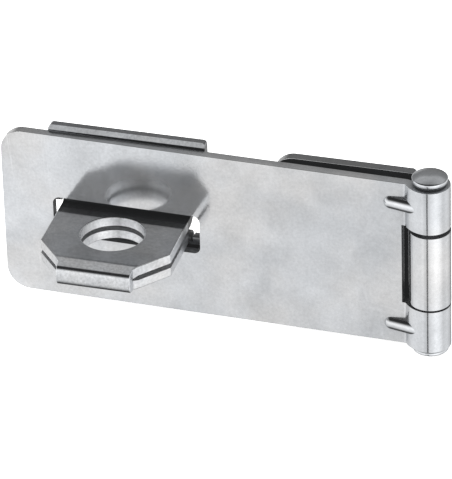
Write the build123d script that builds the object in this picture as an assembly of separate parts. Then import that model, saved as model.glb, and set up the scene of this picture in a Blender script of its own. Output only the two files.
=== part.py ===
from build123d import *
import math
import os

# A hasp and staple: a slotted flap hinged to a mounting leaf, and a folded staple
# whose eye stands through the slot. Millimetres.
# X runs along the hasp, with the free end at -X. Y runs into the door, and Z up the pin.
# The origin is on the mounting plane, behind the pin, at the middle of the leaf's height.

# ---- sheet and pin -------------------------------------------------------------------
sheet = 2.0                 # thickness of all three plates
pin_radius = 2.2
running_gap = 0.05          # radial clearance of the pin in the leaf's knuckle
knuckle_outer = pin_radius + running_gap + sheet
pin_y = -knuckle_outer      # the leaf's back face is tangent to its knuckle
flap_seam = 14.0            # the flap's curl stops this far short of the plate, degrees
leaf_seam = 64.0            # and the leaf's

# ---- flap ----------------------------------------------------------------------------
overall_length = 95.0
flap_reach = overall_length - knuckle_outer
flap_height = 37.4
flap_face_ahead = 1.5       # the flap's front face stands this far ahead of the pin's axis
flap_corner = 4.8
flap_bend = 1.7             # centre-line radius of the bend between plate and neck
neck_radius = 5.0           # centre-line radius of the neck, which is flatter than the knuckle
neck_start = 8.0            # the neck leaves the knuckle this far before its front, degrees
flap_edge_round = 0.12
window_edge = 5.55          # distance from the pin's axis to the window's long edge
window_half_height = 9.1
slot_start = 48.3           # from the pin's axis
slot_end = 79.9
slot_top = 4.25
slot_bottom = -4.55
slot_corner = 1.5

# ---- stiffening beads ----------------------------------------------------------------
bead_upper = 14.05          # Z of each bead's middle
bead_lower = -14.4
bead_radius = 1.5
bead_tip = 9.3              # distance of the bead's tip from the pin's axis
bead_root = 2.0             # the crest sinks into the knuckle at this distance from the axis
bead_sink = 0.45            # the nose's centre lies this far below the plate's face

# ---- leaf ----------------------------------------------------------------------------
leaf_reach = 33.4
leaf_height = 38.5
leaf_corner = 4.6
leaf_inner_corner = 0.7
leaf_shoulder = 3.8         # the plate stops here beside the flap's knuckles
play_above = 0.9            # gaps between the middle knuckle and the flap's knuckles
play_below = 0.5
leaf_edge_round = 0.12

# ---- staple --------------------------------------------------------------------------
staple_centre = -64.25      # X of the eye's middle
staple_width = 33.4
staple_height = 39.6
staple_corner = 0.8
staple_bevel_down = 0.9     # bevel of the flanges' long edges, measured on the face
staple_bevel_in = 0.5       # and through the thickness
flange_foot = 2.45          # the flanges reach this near to the eye's middle plane, beside it
eye_width = 27.4
eye_straight = 17.9         # the eye's sides run straight to this distance from the wall
eye_reach = 27.4            # distance of the flattened fold's front from the wall
nose_corner = 26.95         # the fold turns down here
nose_height = 4.1           # between its upper and lower corners
nose_round = 1.15           # radius of those corners
nose_crown = 5.0            # radius of its front
nose_start = 23.8           # the layers lean together from here on
nose_start_round = 8.0
eye_chamfer_end = 24.95     # the slanted corners end at this distance from the wall
eye_tip_width = 15.6
eye_corner = 0.4            # rounding where the slanted corners begin and end
eye_slant = 1.35            # the eye is cut at this angle to its flanges, degrees
eye_bend = 1.0              # inner radius of the bends between the eye and its flanges
eye_gap = 1.1               # between the two layers
fold_gap = 0.16             # and at the inside of the fold, where they nearly touch
fold_inside = 25.2          # distance of the inside of the fold from the wall
eye_edge_round = 0.25
eye_relief = 0.25           # slots beside the eye that free its bends
shackle_centre = 12.6       # distance of the padlock hole from the wall
shackle_radius = 6.6

# ---- pin heads -----------------------------------------------------------------------
head_radius = 3.7
head_foot_radius = 3.0      # where the head touches the knuckle
head_rim_low = 1.12
head_rim_high = 1.3
head_dome_radius = 3.3      # the rim rounds over into the dome here
head_dome_edge = 1.75
head_dome = 2.35
formed_head_scale = 0.65    # the lower head is flatter

# ---- screw holes ---------------------------------------------------------------------
screw_radius = 2.5
countersink_radius = 3.7
leaf_screw_middle = -18.8
leaf_screw_spacing_x = 15.0
leaf_screw_spacing_z = 25.0
staple_screw_spacing_x = 20.0
staple_screw_spacing_z = 25.0

# ---- closed position -----------------------------------------------------------------
closed_clearance = 0.1      # left between the flap and the staple's flanges when shut
plate_gap = knuckle_outer - sheet - (sheet - flap_face_ahead)
staple_far_edge = -staple_centre + staple_width / 2
closed_lean = math.degrees(math.asin((plate_gap - closed_clearance) / staple_far_edge))


def block(x_range, y_range, z_range):
    """A box given by its ranges."""
    size = [high - low for low, high in (x_range, y_range, z_range)]
    middle = [(high + low) / 2 for low, high in (x_range, y_range, z_range)]
    return Pos(*middle) * Box(*size)


def either_side(middle, width):
    """The range of a given width about a middle."""
    return (middle - width / 2, middle + width / 2)


def screw_hole(x, z, front):
    """A countersunk hole, opening towards -Y at y = front."""
    sink = countersink_radius - screw_radius
    cone = Pos(0, 0, -sink / 2) * Cone(screw_radius, countersink_radius, sink)
    drill = Cylinder(screw_radius, 4 * sheet)
    return Pos(x, front, z) * Rot(90, 0, 0) * (drill + cone)


def screw_holes(x_middle, spacing_x, spacing_z):
    """Four countersunk holes at the corners of a rectangle."""
    holes = []
    for x in (x_middle - spacing_x / 2, x_middle + spacing_x / 2):
        for z in (-spacing_z / 2, spacing_z / 2):
            holes.append(screw_hole(x, z, -sheet))
    return holes


def edges_at_x(shape, x):
    """The edges that run through the sheet's thickness at one X."""
    return [edge for edge in shape.edges().filter_by(Axis.Y) if abs(edge.center().X - x) < 0.01]


def front_outline(shape, y):
    """The outer edges of the flat faces at one Y."""
    flat = [face for face in shape.faces().filter_by(Axis.Y) if abs(face.center().Y - y) < 0.01]
    return [edge for face in flat for edge in face.outer_wire().edges()]


def flap_section():
    """The flap seen along the pin, which is at 0, 0: flat plate, forward bend, neck and curl."""
    curl = pin_radius + sheet / 2
    plate_y = sheet / 2 - flap_face_ahead
    front = 270 - neck_start
    offset = neck_radius - curl
    neck_x = -offset * math.cos(math.radians(front))
    neck_y = -offset * math.sin(math.radians(front))
    bend_y = plate_y - flap_bend
    bend_x = neck_x - math.sqrt((neck_radius + flap_bend) ** 2 - (bend_y - neck_y) ** 2)
    meeting = math.degrees(math.atan2(bend_y - neck_y, bend_x - neck_x)) % 360
    seam = 540 - flap_seam
    plate = Line((-flap_reach, plate_y), (bend_x, plate_y))
    bend = CenterArc((bend_x, bend_y), flap_bend, 90, meeting - 270)
    neck = CenterArc((neck_x, neck_y), neck_radius, meeting, front - meeting)
    knuckle = CenterArc((0, 0), curl, front, seam - front)
    return trace([plate, bend, neck, knuckle], sheet)


def bead(z):
    """A round-nosed ridge that bridges the corner between the plate and a knuckle."""
    nose = Vector(bead_radius - bead_tip, bead_sink - flap_face_ahead)
    crest = -math.sqrt((pin_radius + sheet) ** 2 - bead_root ** 2)
    root = Vector(-bead_root, crest + bead_radius)
    axis = Plane(origin=(nose.X, nose.Y, z), z_dir=(root - nose).normalized())
    length = (root - nose).length + bead_radius
    ridge = axis * (Pos(0, 0, length / 2) * Cylinder(bead_radius, length) + Sphere(bead_radius))
    return ridge - Cylinder(pin_radius, 2 * flap_height)


def hasp_flap():
    """The swinging plate, made about the pin's axis and then set in its closed place."""
    flap = extrude(flap_section(), flap_height / 2, both=True)
    flap = fillet(edges_at_x(flap, -flap_reach), flap_corner)
    outline = [edge for edge in front_outline(flap, -flap_face_ahead) if edge.center().X < -window_edge]
    flap = fillet(outline, flap_edge_round)
    across = (-flap_height, flap_height)
    flap -= block((-window_edge, 2 * knuckle_outer), across, either_side(0, 2 * window_half_height))
    slot = block((-slot_end, -slot_start), across, (slot_bottom, slot_top))
    flap -= fillet(slot.edges().filter_by(Axis.Y), slot_corner)
    for z in (bead_upper, bead_lower):
        flap += bead(z)
    return Pos(0, pin_y, 0) * Rot(0, 0, -closed_lean) * flap


def leaf_section():
    """The leaf's knuckle seen along the pin: a strip of plate tangent to the back of its curl."""
    curl = knuckle_outer - sheet / 2
    strip = Line((-2 * leaf_shoulder, -sheet / 2), (0, -sheet / 2))
    knuckle = CenterArc((0, pin_y), curl, 90, leaf_seam - 360)
    return trace([strip, knuckle], sheet)


def mounting_leaf():
    """The plate screwed to the door, with one knuckle in its middle."""
    leaf = block((-leaf_reach, -leaf_shoulder), (-sheet, 0), either_side(0, leaf_height))
    leaf = fillet(edges_at_x(leaf, -leaf_reach), leaf_corner)
    leaf = fillet(edges_at_x(leaf, -leaf_shoulder), leaf_inner_corner)
    leaf = fillet(front_outline(leaf, -sheet), leaf_edge_round)
    top = window_half_height - play_above
    bottom = play_below - window_half_height
    leaf += Pos(0, 0, bottom) * extrude(leaf_section(), top - bottom)
    return leaf - screw_holes(leaf_screw_middle, leaf_screw_spacing_x, leaf_screw_spacing_z)


def nose_section():
    """The flattened fold, where the two layers lean together and join."""
    layer = sheet + eye_gap / 2
    corner = nose_height / 2
    start = sheet - nose_start
    points = [(start, layer), (-nose_start, layer), (-nose_corner, corner), (-eye_reach, 0)]
    mirrored = [(y, -z) for y, z in reversed(points[:-1])]
    nose = make_face(Polyline(points + mirrored, close=True))
    for y, radius in ((-nose_start, nose_start_round), (-nose_corner, nose_round), (-eye_reach, nose_crown)):
        nose = fillet([point for point in nose.vertices() if abs(point.X - y) < 0.01], radius)
    mouth = [(start, eye_gap / 2), (-nose_start, eye_gap / 2), (-fold_inside, fold_gap / 2)]
    gap = mouth + [(y, -z) for y, z in reversed(mouth)]
    return nose - make_face(Polyline(gap, close=True))


def staple_section():
    """The folded strip seen from its end: flange, bend and layer above and below, and the fold."""
    bend = eye_bend + sheet / 2
    layer_z = (sheet + eye_gap) / 2
    bend_z = layer_z + bend
    bend_y = -sheet - eye_bend
    flange = Line((-sheet / 2, bend_z + sheet / 2), (-sheet / 2, bend_z))
    corner = CenterArc((bend_y, bend_z), bend, 0, -90)
    layer = Line((bend_y, layer_z), (sheet / 2 - nose_start, layer_z))
    upper = trace([flange, corner, layer], sheet)
    return Plane.YZ * (upper + mirror(upper, about=Plane.XZ) + nose_section()), bend_z


def slanted(shape):
    """Turns the eye's outline about the point between its slanted corners."""
    return Pos(staple_centre, -eye_straight) * Rot(0, 0, eye_slant) * Pos(0, eye_straight) * shape


def eye_outline():
    """The eye seen from above, from behind the wall to beyond its tip, with the padlock hole."""
    side = eye_width / 2
    tip = eye_tip_width / 2
    beyond = -eye_reach - sheet
    points = [(side, sheet), (side, -eye_straight), (tip, -eye_chamfer_end), (tip, beyond)]
    mirrored = [(-x, y) for x, y in reversed(points)]
    outline = make_face(Polyline(points + mirrored, close=True))
    corners = [corner for corner in outline.vertices() if beyond < corner.Y < 0]
    outline = fillet(corners, eye_corner)
    return slanted(outline - Pos(0, -shackle_centre) * Circle(shackle_radius))


def eye_skin_edges(eye):
    """The edges between the eye's outer skin and its cut sides and hole."""
    cut = [face for face in eye.faces() if abs(face.normal_at().X) > 0.1]
    edges = [edge for face in cut for edge in face.edges()]
    skin = [edge for edge in edges if abs(edge.center().Z) > 0.75 * sheet and edge.center().Y < -sheet]
    fold = [edge for edge in edges if edge.center().Y < -nose_corner + 0.5]
    return skin + fold


def folded_eye(section):
    """The strip cut to the eye's outline, with its outer edges softened."""
    eye = Pos(staple_centre, 0, 0) * extrude(section, eye_width, both=True)
    eye &= extrude(eye_outline(), staple_height, both=True)
    rims = [edge for edge in eye.edges() if edge.is_closed and abs(edge.center().Z) > sheet]
    return fillet(eye_skin_edges(eye) + rims, eye_edge_round)


def bevel():
    """What the bevel of a flange's long edge takes away."""
    edge = staple_height / 2
    points = [
        (-sheet - staple_bevel_in, edge - 2 * staple_bevel_down),
        (-sheet + 2 * staple_bevel_in, edge + staple_bevel_down),
        (-sheet - staple_bevel_in, edge + staple_bevel_down),
    ]
    face = Plane.YZ * make_face(Polyline(points, close=True))
    return Pos(staple_centre, 0, 0) * extrude(face, staple_width, both=True)


def staple():
    """The folded eye and its two screw flanges."""
    section, bend_z = staple_section()
    eye = folded_eye(section)
    through = (-sheet, 0)
    foot = block(either_side(staple_centre, staple_width), through, (flange_foot, staple_height / 2))
    eye_root = staple_centre - eye_straight * math.sin(math.radians(eye_slant))
    for end in either_side(staple_centre, staple_width):
        foot = fillet(edges_at_x(foot, end), staple_corner)
    foot -= bevel()
    foot -= block(either_side(eye_root, eye_width + 2 * eye_relief), through, (0, bend_z))
    whole = eye + foot + mirror(foot, about=Plane.XY)
    return whole - screw_holes(staple_centre, staple_screw_spacing_x, staple_screw_spacing_z)


def head_profile(scale):
    """Half of a low domed head, seated on z = 0."""
    seat = Line((0, 0), (head_foot_radius, 0))
    rim = Line((head_radius, head_rim_low * scale), (head_radius, head_rim_high * scale))
    under = Spline(seat @ 1, rim @ 0, tangents=[(1, 0.4), (0.1, 1)])
    dome_edge = (head_dome_radius, head_dome_edge * scale)
    dome = Spline(rim @ 1, dome_edge, (0, head_dome * scale), tangents=[(0, 1), (-1, 0)])
    centre = Line(dome @ 1, seat @ 0)
    return Plane.XZ * make_face([seat, under, rim, dome, centre])


def hinge_pin():
    """The shank and its two heads."""
    shank = Cylinder(pin_radius, flap_height)
    upper = Pos(0, 0, flap_height / 2) * revolve(head_profile(1), Axis.Z)
    formed = Pos(0, 0, flap_height / 2) * revolve(head_profile(formed_head_scale), Axis.Z)
    return Pos(0, pin_y, 0) * (shank + upper + mirror(formed, about=Plane.XY))


def main():
    os.makedirs("parts", exist_ok=True)
    pieces = {
        "hasp_flap": hasp_flap,
        "mounting_leaf": mounting_leaf,
        "hinge_pin": hinge_pin,
        "staple": staple,
    }
    for name, make in pieces.items():
        export_step(make(), f"parts/{name}.step")


main()
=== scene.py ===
import math

import bpy
from mathutils import Matrix, Vector


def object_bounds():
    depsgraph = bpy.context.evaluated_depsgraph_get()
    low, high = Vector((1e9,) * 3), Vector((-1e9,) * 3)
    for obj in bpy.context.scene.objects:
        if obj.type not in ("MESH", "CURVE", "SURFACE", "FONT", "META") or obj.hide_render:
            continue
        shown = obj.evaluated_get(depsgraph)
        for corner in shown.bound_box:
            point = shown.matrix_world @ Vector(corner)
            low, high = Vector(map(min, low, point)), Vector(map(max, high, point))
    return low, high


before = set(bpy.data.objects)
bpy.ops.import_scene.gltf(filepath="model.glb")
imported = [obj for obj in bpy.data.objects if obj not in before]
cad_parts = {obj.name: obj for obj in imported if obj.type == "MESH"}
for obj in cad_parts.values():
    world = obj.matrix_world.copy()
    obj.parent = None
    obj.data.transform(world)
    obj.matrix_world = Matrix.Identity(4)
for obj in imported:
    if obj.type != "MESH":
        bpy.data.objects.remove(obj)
cad_low, cad_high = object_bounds()

# ---- camera: where it stands round the hasp, and the spot on the flap's face that it looks at ----
CAMERA_AZIMUTH = math.radians(17.45)
CAMERA_ELEVATION = math.radians(30.97)
CAMERA_ROLL = math.radians(-1.757)
CAMERA_DISTANCE = 0.98963
CAMERA_AIM = Vector((-0.042444, -0.00575, 0.000387))
CAMERA_LENS = 366.1
CAMERA_SENSOR = 36.0
CAMERA_CLIP = (0.01, 100)

# ---- floor and light ----
FLOOR_SIZE = 6.0
FLOOR_COLOUR = (0.9, 0.9, 0.9, 1)
FLOOR_GLOW = 0.8            # lifts the floor to the white of the backdrop
KEY_STRENGTH = 3.9
KEY_SOFTNESS = math.radians(70)
KEY_LEAN = (math.radians(25), math.radians(-10), 0)
STUDIO_STRENGTH = 1.2
BACKDROP = 1.0              # what the camera sees past the floor

# ---- what the metal mirrors; every list holds (degrees, brightness) ----
FRONT_HEIGHTS = (
    (-90, 0.06), (-75, 0.06), (-63, 0.1), (-55, 0.32), (-44, 0.88), (-31, 1.0), (-18, 1.15), (-5, 1.35),
    (8, 1.35), (18, 1.0), (25, 0.72), (31, 0.43), (38, 0.14), (46, 0.03), (56, 0.02), (72, 0.02), (90, 0.06),
)
BACK_HEIGHTS = (
    (-90, 0.06), (0, 0.22), (20, 0.24), (33, 0.29), (43, 0.52), (60, 0.5), (75, 0.36), (83, 0.1), (90, 0.06),
)
ROUND_ABOUT = (
    (-180, 0.12), (-165, 0.15), (-150, 0.5), (-109, 0.75), (-88, 0.95), (-60, 1.02), (-40, 0.98),
    (-25, 1.06), (-17, 0.86), (-12, 0.83), (-7, 0.85), (5, 0.92), (22, 1.15), (45, 1.38), (62, 1.28),
    (75, 1.1), (88, 0.9), (110, 0.9), (136, 0.78), (146, 0.62), (156, 0.45), (170, 0.35), (180, 0.2),
)
GAP = ((-180, 1.0), (-7, 1.0), (-5, 0.14), (1, 0.14), (3, 1.0), (180, 1.0))

# How far a direction points up or back, from where the change starts to where it is whole.
GAP_HEIGHT = (-0.1, -0.3)
BACK_HEIGHT = (0.0, 0.3)
BACK_DEPTH = (0.0, 0.3)

# ---- zinc plate ----
COOL = (0.541, 0.556, 0.576, 1)
WARM = (0.558, 0.556, 0.556, 1)
# Painted glow: a faint emission on all the metal that lifts its deepest shadows to a dark grey.
PAINTED_SHADOW_GLOW = 0.011                # the faint grey left in the deepest shadows
RELIEF_DEPTH = 0.000015     # of the unevenness of the plated surface
BRUSHED = 0.3               # how far the rolling direction draws out the reflections

# Noise scales per metre, and how much each pattern changes the brightness.
CLOUD_SCALE, CLOUD_TONE = 45.0, 0.4
PATCH_SCALE, PATCH_TONE = 130.0, 0.5
GRAIN_SCALE, GRAIN_TONE = 1700.0, 0.3
ROLLED_SCALE, ROLLED_STRETCH, ROLLED_TONE = 900.0, 14.0, 0.03
STREAK_SCALE, STREAK_STRETCH, STREAK_TONE = 2600.0, 9.0, 0.2
HUE_SCALE = 60.0
HUE_CHANGE = (0.35, 0.7)

# Scratches: angle from upright, scale and share kept, of the steep ones and of those along the plate.
STEEP_MARKS = (0.06, 420.0, 0.45)
FLAT_MARKS = (1.4, 300.0, 0.4)
MARK_STRETCH = 60.0
MARK_WIDTH = 0.012
MARK_GROUPS = 14            # how much wider than a scratch the groups are that they come in
MARK_FADE = 0.15
MARK_TONE = 0.12

# How much each pattern stands out of the surface.
GRAIN_RELIEF = 0.25
ROLLED_RELIEF = 0.35
PATCH_RELIEF = 0.9
MARK_RELIEF = -0.05
STREAK_RELIEF = 0.7

SKIN_ROUGHNESS = 0.08
CLOUD_ROUGHNESS = 0.08
# Sheared faces change between these two depths, from the plates behind to what stands in front.
FRONT = (-0.003, -0.006)
CUT_ROUGHNESS = (0.18, 0.38)
# Painted light: sheared faces in front are brightened by this factor.
FRONT_CUT_SHADE = 1.1

# Painted shade in gaps: ambient occlusion darkens the metal's colour there.
CREVICE_DEEP = 0.1          # open sky below which a crevice is as dark as it gets
CREVICE_SHADE = 0.4
CREVICE_SAMPLES = 12

# How squarely a face looks along an axis, from where the change starts to where it is whole.
EDGE_ON = (0.55, 0.35)
SIDEWAYS = (0.15, 0.4)
ENDWAYS = (0.4, 0.7)
HOLE_WALL = (0.5, 0.3)
LYING = (0.4, 0.6)

# The slot through the flap: its middle, a box round it, its rough walls and the painted shade on its ends.
SLOT_MIDDLE, SLOT_REACH, SLOT_RISE = -0.0641, 0.018, 0.01
SLOT_ROUGHNESS = 0.5
SLOT_END_SHADE = 0.2

# The staple: its painted crevice shade stops in front of the plates, its root gets painted shade,
# and it is dull between its layers.
OPEN_AIR = (-0.003, -0.005)
ROOT_BACK = (-0.0004, -0.0014)
ROOT_FRONT = (-0.005, -0.0042)
ROOT_RISE = (0.006, 0.005)
ROOT_SHADE = 0.4
EYE_FRONT = (-0.0026, -0.0028)
HOLE_FRONT = (-0.024, -0.022)
BETWEEN_RISE = (0.0006, 0.00057)
BETWEEN_FRONT = (-0.003, -0.004)
BETWEEN_ROUGHNESS = 0.6


class Graph:
    """Short calls for one node tree."""

    def __init__(self, tree):
        self.tree = tree
        self.nodes = tree.nodes
        self.nodes.clear()

    def add(self, kind, inputs=None, **settings):
        node = self.nodes.new(kind)
        for name, value in settings.items():
            setattr(node, name, value)
        for name, value in (inputs or {}).items():
            self.feed(node.inputs[name], value)
        return node

    def feed(self, socket, value):
        if isinstance(value, bpy.types.NodeSocket):
            self.tree.links.new(value, socket)
        else:
            socket.default_value = value

    def math(self, operation, *values):
        node = self.add("ShaderNodeMath", operation=operation)
        for socket, value in zip(node.inputs, values):
            self.feed(socket, value)
        return node.outputs[0]

    def times(self, first, *others):
        """All the values multiplied."""
        for other in others:
            first = self.math("MULTIPLY", first, other)
        return first

    def size(self, value):
        """The value without its sign."""
        return self.math("ABSOLUTE", value)

    def plus(self, base, pattern, amount):
        """The base with a pattern that runs from 0 to 1 added evenly above and below it."""
        return self.math("MULTIPLY_ADD", self.math("SUBTRACT", pattern, 0.5), amount, base)

    def split(self, vector):
        return self.add("ShaderNodeSeparateXYZ", {"Vector": vector}).outputs

    def step(self, value, low, high):
        """0 below low and 1 above high, smooth between; low may be above high."""
        node = self.add("ShaderNodeMapRange", interpolation_type="SMOOTHSTEP")
        if low > high:
            settings = (value, high, low, 1.0, 0.0)
        else:
            settings = (value, low, high, 0.0, 1.0)
        for socket, setting in zip(node.inputs, settings):
            self.feed(socket, setting)
        return node.outputs[0]

    def blend(self, factor, a, b):
        """A number between a and b."""
        node = self.add("ShaderNodeMix", data_type="FLOAT")
        for socket, value in zip((node.inputs[0], node.inputs[2], node.inputs[3]), (factor, a, b)):
            self.feed(socket, value)
        return node.outputs[0]

    def tint(self, factor, a, b, how="MIX"):
        """A colour between a and b."""
        node = self.add("ShaderNodeMix", data_type="RGBA", blend_type=how)
        for socket, value in zip((node.inputs[0], node.inputs[6], node.inputs[7]), (factor, a, b)):
            self.feed(socket, value)
        return node.outputs[2]

    def noise(self, place, scale, **settings):
        settings = {name.capitalize(): value for name, value in settings.items()}
        return self.add("ShaderNodeTexNoise", {"Vector": place, "Scale": scale, **settings}).outputs["Fac"]

    def ramp(self, value, stops):
        """A grey that follows (place, brightness) pairs, with places from 0 to 1."""
        node = self.add("ShaderNodeValToRGB", {"Fac": value})
        elements = node.color_ramp.elements
        while len(elements) < len(stops):
            elements.new(0.5)
        top = max(level for _, level in stops)
        for element, (place, level) in zip(elements, stops):
            element.position = place
            element.color = (level / top, level / top, level / top, 1)
        return self.times(node.outputs[0], top)


class Spot:
    """Where a point lies on its piece, and which way the surface faces there."""

    def __init__(self, g):
        coordinates = g.add("ShaderNodeTexCoord").outputs
        self.place = coordinates["Object"]
        self.x, self.y, self.z = g.split(self.place)
        self.face_x, self.face_y, self.face_z = [g.size(part) for part in g.split(coordinates["Normal"])]


def by_elevation(g, height, stops):
    """Brightness against elevation in degrees; height is the sine of the elevation."""
    place = g.math("MULTIPLY_ADD", height, 0.5, 0.5)
    return g.ramp(place, [((math.sin(math.radians(degrees)) + 1) / 2, level) for degrees, level in stops])


def by_azimuth(g, x, y, stops):
    """Brightness against azimuth in degrees, counted from straight in front towards +X."""
    angle = g.math("ARCTAN2", x, g.times(y, -1))
    place = g.math("MULTIPLY_ADD", angle, 0.5 / math.pi, 0.5)
    return g.ramp(place, [(degrees / 360 + 0.5, level) for degrees, level in stops])


def studio_surroundings():
    """Tall soft boxes in front and to the sides, a dark gap low down between them, dark above and below."""
    world = bpy.data.worlds.new("studio")
    bpy.context.scene.world = world
    world.use_nodes = True
    g = Graph(world.node_tree)
    x, y, z = g.split(g.add("ShaderNodeTexCoord").outputs["Generated"])
    gap = g.blend(g.step(z, *GAP_HEIGHT), 1.0, by_azimuth(g, x, y, GAP))
    around = g.times(by_elevation(g, z, FRONT_HEIGHTS), by_azimuth(g, x, y, ROUND_ABOUT), gap)
    behind = g.times(g.step(y, *BACK_DEPTH), g.step(z, *BACK_HEIGHT))
    level = g.times(g.blend(behind, around, by_elevation(g, z, BACK_HEIGHTS)), STUDIO_STRENGTH)
    seen = g.add("ShaderNodeLightPath").outputs["Is Camera Ray"]
    background = g.add("ShaderNodeBackground", {"Color": g.blend(seen, level, BACKDROP)})
    g.add("ShaderNodeOutputWorld", {"Surface": background.outputs[0]})


def pale_floor():
    """A plain floor under the hasp, left out of the metal's reflections."""
    bpy.ops.mesh.primitive_plane_add(size=FLOOR_SIZE, location=(0, 0, cad_low.z))
    floor = bpy.context.object
    floor.name = "floor"
    floor.visible_glossy = False
    floor.visible_shadow = False
    material = bpy.data.materials.new("pale_floor")
    material.use_nodes = True
    g = Graph(material.node_tree)
    matt = g.add("ShaderNodeBsdfDiffuse", {"Color": FLOOR_COLOUR})
    glow = g.add("ShaderNodeEmission", {"Color": FLOOR_COLOUR, "Strength": FLOOR_GLOW})
    surface = g.add("ShaderNodeAddShader")
    g.feed(surface.inputs[0], matt.outputs[0])
    g.feed(surface.inputs[1], glow.outputs[0])
    g.add("ShaderNodeOutputMaterial", {"Surface": surface.outputs[0]})
    floor.data.materials.append(material)


def key_light():
    lamp = bpy.data.lights.new("key", "SUN")
    lamp.energy = KEY_STRENGTH
    lamp.angle = KEY_SOFTNESS
    light = bpy.data.objects.new("key", lamp)
    light.rotation_euler = KEY_LEAN
    light.visible_glossy = False
    bpy.context.scene.collection.objects.link(light)


def camera():
    lens = bpy.data.cameras.new("camera")
    lens.lens = CAMERA_LENS
    lens.sensor_width = CAMERA_SENSOR
    lens.clip_start, lens.clip_end = CAMERA_CLIP
    eye = bpy.data.objects.new("camera", lens)
    sine, cosine = math.sin(CAMERA_AZIMUTH), math.cos(CAMERA_AZIMUTH)
    level = math.cos(CAMERA_ELEVATION)
    back = Vector((sine * level, -cosine * level, math.sin(CAMERA_ELEVATION)))
    right = Matrix.Rotation(CAMERA_ROLL, 3, back) @ Vector((cosine, sine, 0))
    up = back.cross(right)
    eye.matrix_world = Matrix((right, up, back)).transposed().to_4x4()
    eye.location = CAMERA_AIM + back * CAMERA_DISTANCE
    bpy.context.scene.collection.objects.link(eye)
    bpy.context.scene.camera = eye


def stretched(g, place, direction, scale, stretch, detail=4.0, roughness=0.6):
    """Noise drawn out along one axis."""
    squeeze = [scale if axis != direction else scale / stretch for axis in "XYZ"]
    mapping = g.add("ShaderNodeMapping", {"Vector": place, "Scale": squeeze})
    return g.noise(mapping.outputs[0], 1.0, detail=detail, roughness=roughness)


def scratches(g, place, angle, scale, keep):
    """Thin lines running one way across the faces, broken up so that only some of them show."""
    turned = g.add("ShaderNodeMapping", {"Vector": place, "Rotation": (0, angle, 0)}).outputs[0]
    lines = stretched(g, turned, "Z", scale, MARK_STRETCH, 2.0, 0.4)
    groups = g.noise(place, scale / MARK_GROUPS, detail=1.0)
    thin = g.step(g.size(g.math("SUBTRACT", lines, 0.5)), MARK_WIDTH, 0.0)
    return g.times(thin, g.step(groups, 1 - keep, 1 - keep + MARK_FADE))


def painted_crevice_shade(g, reach, open_at):
    """Painted shade from ambient occlusion: 1 in the open, and darker deep in gaps."""
    hidden = g.add("ShaderNodeAmbientOcclusion", {"Distance": reach}, samples=CREVICE_SAMPLES)
    return g.add("ShaderNodeMapRange", {
        "Value": hidden.outputs["AO"], "From Min": CREVICE_DEEP, "From Max": open_at,
        "To Min": CREVICE_SHADE, "To Max": 1.0}).outputs[0]


def outline_cut(g, spot):
    """Sheet lying across Y: everything that faces up, down or endways was sheared."""
    return g.step(spot.face_y, *EDGE_ON)


def eye_cut(g, spot):
    """Standing eye: its skins face up and down in front of the flanges, and its sides and hole were cut."""
    side = g.step(spot.face_x, *SIDEWAYS)
    hole = g.times(g.step(spot.face_z, *HOLE_WALL), g.step(spot.y, *HOLE_FRONT))
    return g.blend(g.step(spot.y, *EYE_FRONT), outline_cut(g, spot), g.math("MAXIMUM", side, hole))


def nowhere(g, spot):
    """No face was sheared."""
    return 0.0


def slot_walls(g, spot, sheared):
    """The sheared walls of the slot through the flap."""
    along = g.math("LESS_THAN", g.size(g.math("SUBTRACT", spot.x, SLOT_MIDDLE)), SLOT_REACH)
    across = g.math("LESS_THAN", g.size(spot.z), SLOT_RISE)
    return g.times(sheared, along, across)


def slot_shadows(g, spot, sheared, shade):
    """Painted shade: the ends of the slot are darkened."""
    ends = g.times(slot_walls(g, spot, sheared), g.step(spot.face_x, *ENDWAYS))
    return g.times(shade, g.blend(ends, 1.0, SLOT_END_SHADE))


def slot_dullness(g, spot, sheared, roughness):
    """The walls of the slot are rough."""
    return g.blend(slot_walls(g, spot, sheared), roughness, SLOT_ROUGHNESS)


def staple_shadows(g, spot, sheared, shade):
    """Painted shade: none from crevices on the eye in front of the plates,
    and a darkened root where it leaves the flanges.
    """
    shade = g.blend(g.step(spot.y, *OPEN_AIR), shade, 1.0)
    root = g.times(g.step(spot.y, *ROOT_FRONT), g.step(g.size(spot.z), *ROOT_RISE))
    root = g.times(root, g.step(spot.y, *ROOT_BACK))
    return g.times(shade, g.blend(root, 1.0, ROOT_SHADE))


def staple_dullness(g, spot, sheared, roughness):
    """The faces that look at each other between the eye's two layers are dull."""
    between = g.times(g.step(g.size(spot.z), *BETWEEN_RISE), g.step(spot.y, *BETWEEN_FRONT))
    between = g.times(between, g.step(spot.face_z, *LYING))
    return g.blend(between, roughness, BETWEEN_ROUGHNESS)


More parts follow.
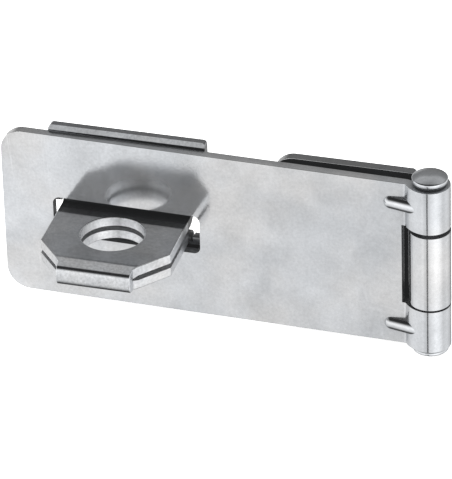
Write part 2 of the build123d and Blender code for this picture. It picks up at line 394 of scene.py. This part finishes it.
def zinc(name, cut, cut_shade=1.0, reach=0.0035, open_at=0.95, grain_tone=GRAIN_TONE,
         shadows=None, dullness=None):
    """Bright zinc plate, cloudy and lightly scratched, with painted shade and a faint painted glow.

    cut says where the sheet was sheared, and cut_shade is the painted shade of those faces on the
    plates behind. reach and open_at set how far away and how nearly closed a crevice's walls are for
    its painted shade. shadows and dullness change the painted shade and the roughness of single features.
    """
    material = bpy.data.materials.new(name)
    material.use_nodes = True
    g = Graph(material.node_tree)
    spot = Spot(g)
    sheared = cut(g, spot)
    in_front = g.step(spot.y, *FRONT)

    cloud = g.noise(spot.place, CLOUD_SCALE, detail=6.0, roughness=0.62)
    patch = g.noise(spot.place, PATCH_SCALE, detail=5.0, distortion=0.6)
    grain = g.noise(spot.place, GRAIN_SCALE, detail=4.0)
    rolled = stretched(g, spot.place, "Z", ROLLED_SCALE, ROLLED_STRETCH)
    streak = stretched(g, spot.place, "Y", STREAK_SCALE, STREAK_STRETCH)
    steep, flat = (scratches(g, spot.place, *marks) for marks in (STEEP_MARKS, FLAT_MARKS))
    marks = g.math("MAXIMUM", steep, flat)

    level = 1.0
    tones = ((cloud, CLOUD_TONE), (patch, PATCH_TONE), (rolled, ROLLED_TONE), (grain, grain_tone))
    for pattern, amount in tones:
        level = g.plus(level, pattern, amount)
    level = g.math("MULTIPLY_ADD", marks, MARK_TONE, level)
    # Sheared faces: streaks of the shearing, with painted shade behind and painted light in front.
    sheared_streaks_and_shade = g.plus(g.blend(in_front, cut_shade, FRONT_CUT_SHADE), streak, STREAK_TONE)
    # Painted shade in crevices, then on single features.
    shade = painted_crevice_shade(g, reach, open_at)
    if shadows:
        shade = shadows(g, spot, sheared, shade)
    level = g.times(level, g.blend(sheared, 1.0, sheared_streaks_and_shade), shade)
    hue = g.tint(g.step(g.noise(spot.place, HUE_SCALE, detail=3.0), *HUE_CHANGE), COOL, WARM)
    colour = g.tint(1.0, hue, level, "MULTIPLY")

    roughness = g.math("MULTIPLY_ADD", cloud, CLOUD_ROUGHNESS, SKIN_ROUGHNESS)
    roughness = g.blend(sheared, roughness, g.blend(in_front, *CUT_ROUGHNESS))
    if dullness:
        roughness = dullness(g, spot, sheared, roughness)

    height = g.times(grain, GRAIN_RELIEF)
    reliefs = ((rolled, ROLLED_RELIEF), (patch, PATCH_RELIEF), (marks, MARK_RELIEF),
               (g.times(streak, sheared), STREAK_RELIEF))
    for pattern, amount in reliefs:
        height = g.math("MULTIPLY_ADD", pattern, amount, height)
    relief = g.add("ShaderNodeBump", {"Height": height, "Strength": 1.0, "Distance": RELIEF_DEPTH})
    # The emission is a painted glow that lifts the deepest shadows; the metal is no lamp.
    surface = g.add("ShaderNodeBsdfPrincipled", {
        "Base Color": colour, "Metallic": 1.0, "Roughness": roughness, "Normal": relief.outputs[0],
        "Anisotropic": BRUSHED, "Tangent": g.add("ShaderNodeCombineXYZ", {"Z": 1.0}).outputs[0],
        "Emission Color": COOL, "Emission Strength": PAINTED_SHADOW_GLOW / COOL[1]})
    g.add("ShaderNodeOutputMaterial", {"Surface": surface.outputs[0]})
    return material


def paint(node, material):
    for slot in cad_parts[node].material_slots:
        slot.link = "OBJECT"
        slot.material = material


studio_surroundings()
pale_floor()
key_light()
camera()
paint("hasp_flap", zinc("flap_zinc", outline_cut, shadows=slot_shadows, dullness=slot_dullness))
# cut_shade is painted shade on the sheared faces on the plates behind.
paint("mounting_leaf", zinc("leaf_zinc", outline_cut, cut_shade=0.5, reach=0.006, open_at=0.8))
paint("staple", zinc("staple_zinc", eye_cut, cut_shade=0.5, reach=0.008, open_at=0.85, grain_tone=0.7,
                     shadows=staple_shadows, dullness=staple_dullness))
paint("hinge_pin", zinc("pin_zinc", nowhere))

bpy.context.scene.view_settings.view_transform = "Standard"
